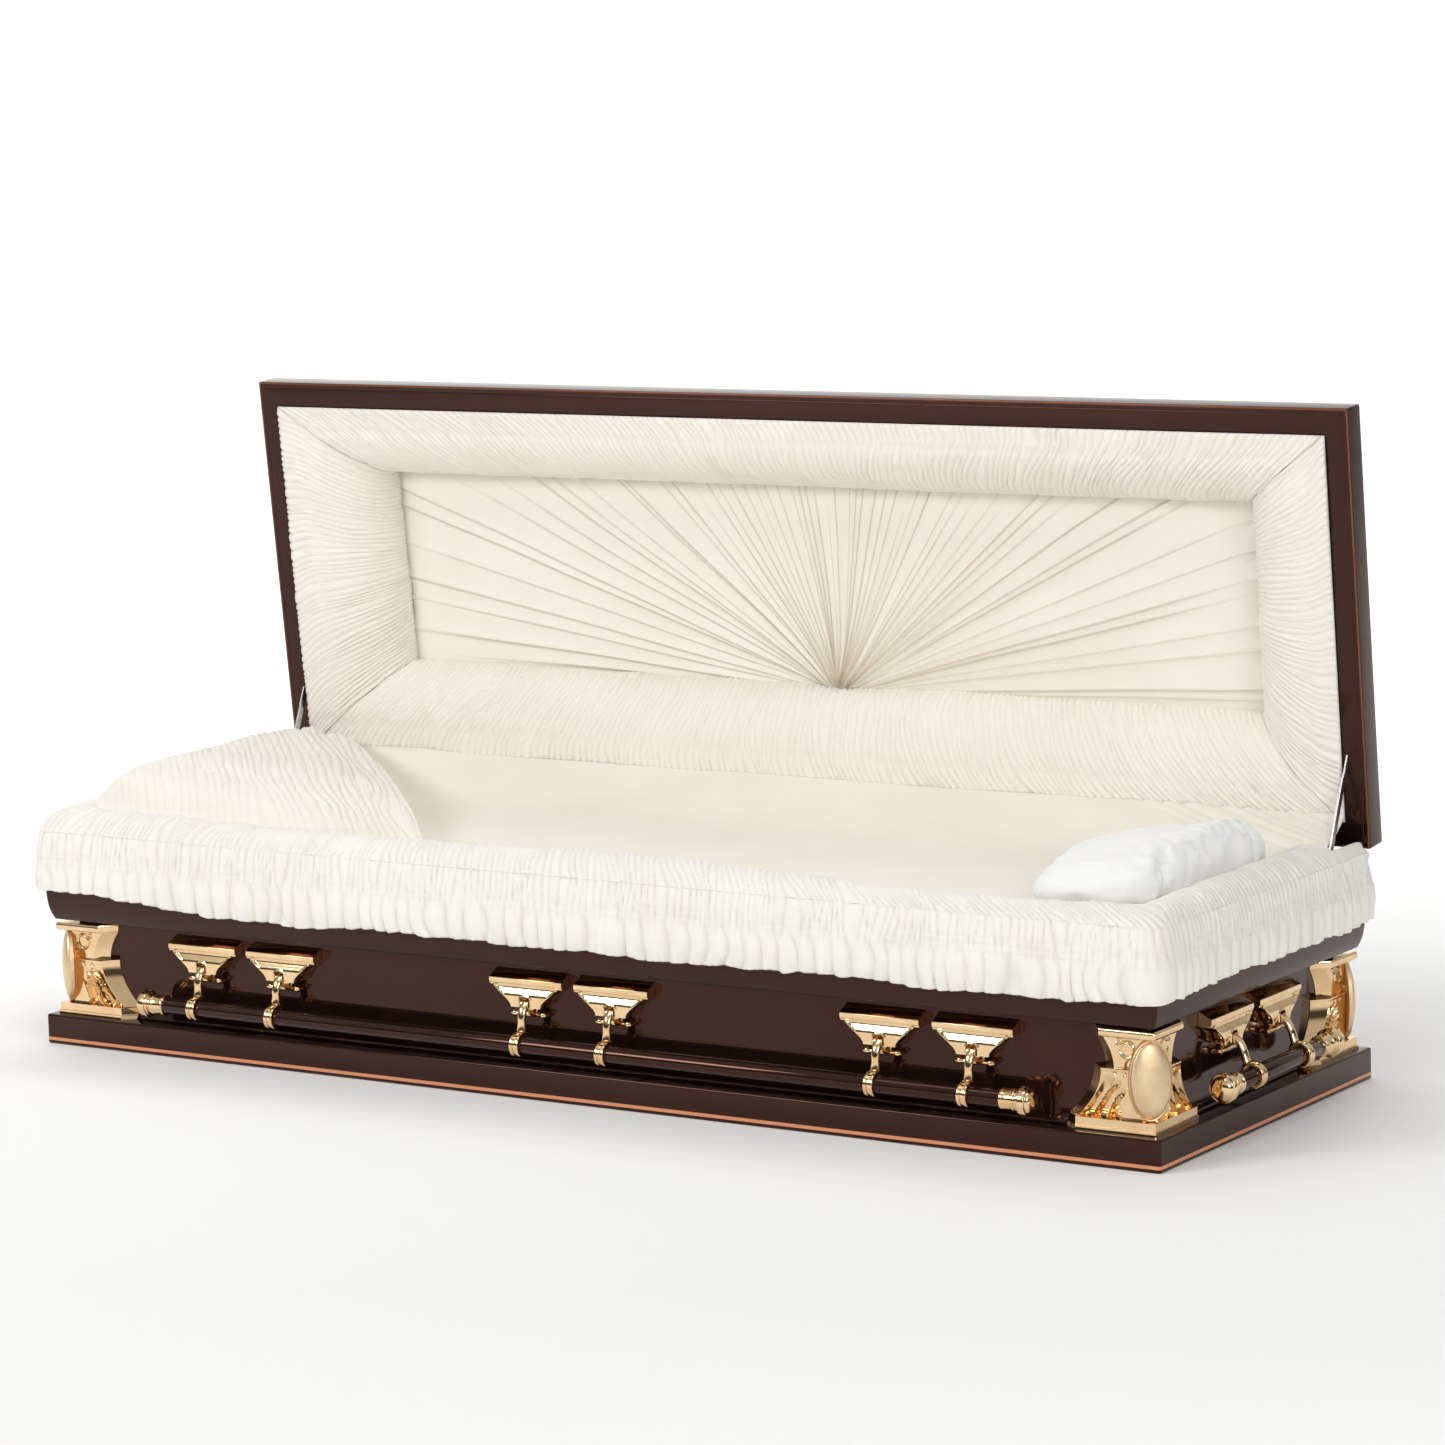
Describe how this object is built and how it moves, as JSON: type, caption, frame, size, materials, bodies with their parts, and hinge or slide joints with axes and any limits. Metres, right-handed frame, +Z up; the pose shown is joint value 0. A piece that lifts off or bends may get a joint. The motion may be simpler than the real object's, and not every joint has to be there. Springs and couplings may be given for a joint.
{
  "type": "funeral casket",
  "caption": "Full-couch funeral casket of sheet steel, lid open, with crepe bedding, hinged one-piece lid, gilt corner castings and swing-bar handles.",
  "frame": {"origin": "centre of the underside of the base", "axes": "+X along the length to the head end, -Y to the front, +Z up; the lid is open at rest"},
  "size_m": [2.1928, 0.9029, 1.0682],
  "materials": {
    "brown_enamel": "high gloss dark brown enamel",
    "polished_gilt": "polished gold plate",
    "satin_gilt": "satin stippled gold plate",
    "plated_steel": "bright zinc or nickel plate",
    "cream_crepe": "gathered cream crepe",
    "pillow_cloth": "plain white crepe"
  },
  "bodies": {
    "casket": {"base_plinth": "brown_enamel", "body_shell": "brown_enamel", "hinge_leaf_body": "plated_steel", "corner_casting_1": "polished_gilt", "corner_medallion_1": "satin_gilt", "corner_casting_2": "polished_gilt", "corner_medallion_2": "satin_gilt", "corner_casting_3": "polished_gilt", "corner_medallion_3": "satin_gilt", "corner_casting_4": "polished_gilt", "corner_medallion_4": "satin_gilt", "ear_front_1": "polished_gilt", "ear_front_2": "polished_gilt", "ear_front_3": "polished_gilt", "ear_front_4": "polished_gilt", "ear_front_5": "polished_gilt", "ear_front_6": "polished_gilt", "ear_right_1": "polished_gilt", "ear_right_2": "polished_gilt", "ear_back_1": "polished_gilt", "ear_back_2": "polished_gilt", "ear_back_3": "polished_gilt", "ear_back_4": "polished_gilt", "ear_back_5": "polished_gilt", "ear_back_6": "polished_gilt", "ear_left_1": "polished_gilt", "ear_left_2": "polished_gilt", "bed_frame": "plated_steel", "mattress": "cream_crepe", "pillow": "pillow_cloth", "foot_overlay": "cream_crepe", "rail_overlay": "cream_crepe", "back_apron": "cream_crepe"},
    "lid": {"lid_shell": "brown_enamel", "lid_lining": "cream_crepe", "lid_sunburst": "cream_crepe", "hinge_leaf_lid": "plated_steel"},
    "lid_stays": {"lid_stay_left": "plated_steel", "lid_stay_right": "plated_steel"},
    "handle_front": {"bar_front": "brown_enamel", "arm_front_1": "polished_gilt", "arm_front_2": "polished_gilt", "arm_front_3": "polished_gilt", "arm_front_4": "polished_gilt", "arm_front_5": "polished_gilt", "arm_front_6": "polished_gilt"},
    "handle_right": {"bar_right": "brown_enamel", "arm_right_1": "polished_gilt", "arm_right_2": "polished_gilt"},
    "handle_back": {"bar_back": "brown_enamel", "arm_back_1": "polished_gilt", "arm_back_2": "polished_gilt", "arm_back_3": "polished_gilt", "arm_back_4": "polished_gilt", "arm_back_5": "polished_gilt", "arm_back_6": "polished_gilt"},
    "handle_left": {"bar_left": "brown_enamel", "arm_left_1": "polished_gilt", "arm_left_2": "polished_gilt"}
  },
  "joints": [
    {"name": "lid_hinge", "type": "hinge", "parent": "casket", "child": "lid", "pos_m": [0, 0.3545, 0.362], "axis": [1, 0, 0], "range_deg": [0, 84.57], "deforming": ["rail_overlay", "pillow", "foot_overlay", "back_apron"]},
    {"name": "stay_swing", "type": "hinge", "parent": "lid", "child": "lid_stays", "pos_m": [0, 0.35193, 0.52122], "axis": [1, 0, 0], "range_deg": [-110.54, 0]},
    {"name": "handle_front_swing", "type": "hinge", "parent": "casket", "child": "handle_front", "pos_m": [0, -0.3355, 0.149], "axis": [-1, 0, 0], "range_deg": [0, 72]},
    {"name": "handle_right_swing", "type": "hinge", "parent": "casket", "child": "handle_right", "pos_m": [1.04, 0, 0.149], "axis": [0, -1, 0], "range_deg": [0, 58.5]},
    {"name": "handle_back_swing", "type": "hinge", "parent": "casket", "child": "handle_back", "pos_m": [0, 0.3355, 0.149], "axis": [1, 0, 0], "range_deg": [0, 72]},
    {"name": "handle_left_swing", "type": "hinge", "parent": "casket", "child": "handle_left", "pos_m": [-1.04, 0, 0.149], "axis": [0, 1, 0], "range_deg": [0, 58.5]}
  ],
  "couplings": [
    {"joint": "stay_swing", "follows": "lid_hinge", "ratio": -1.3071}
  ]
}
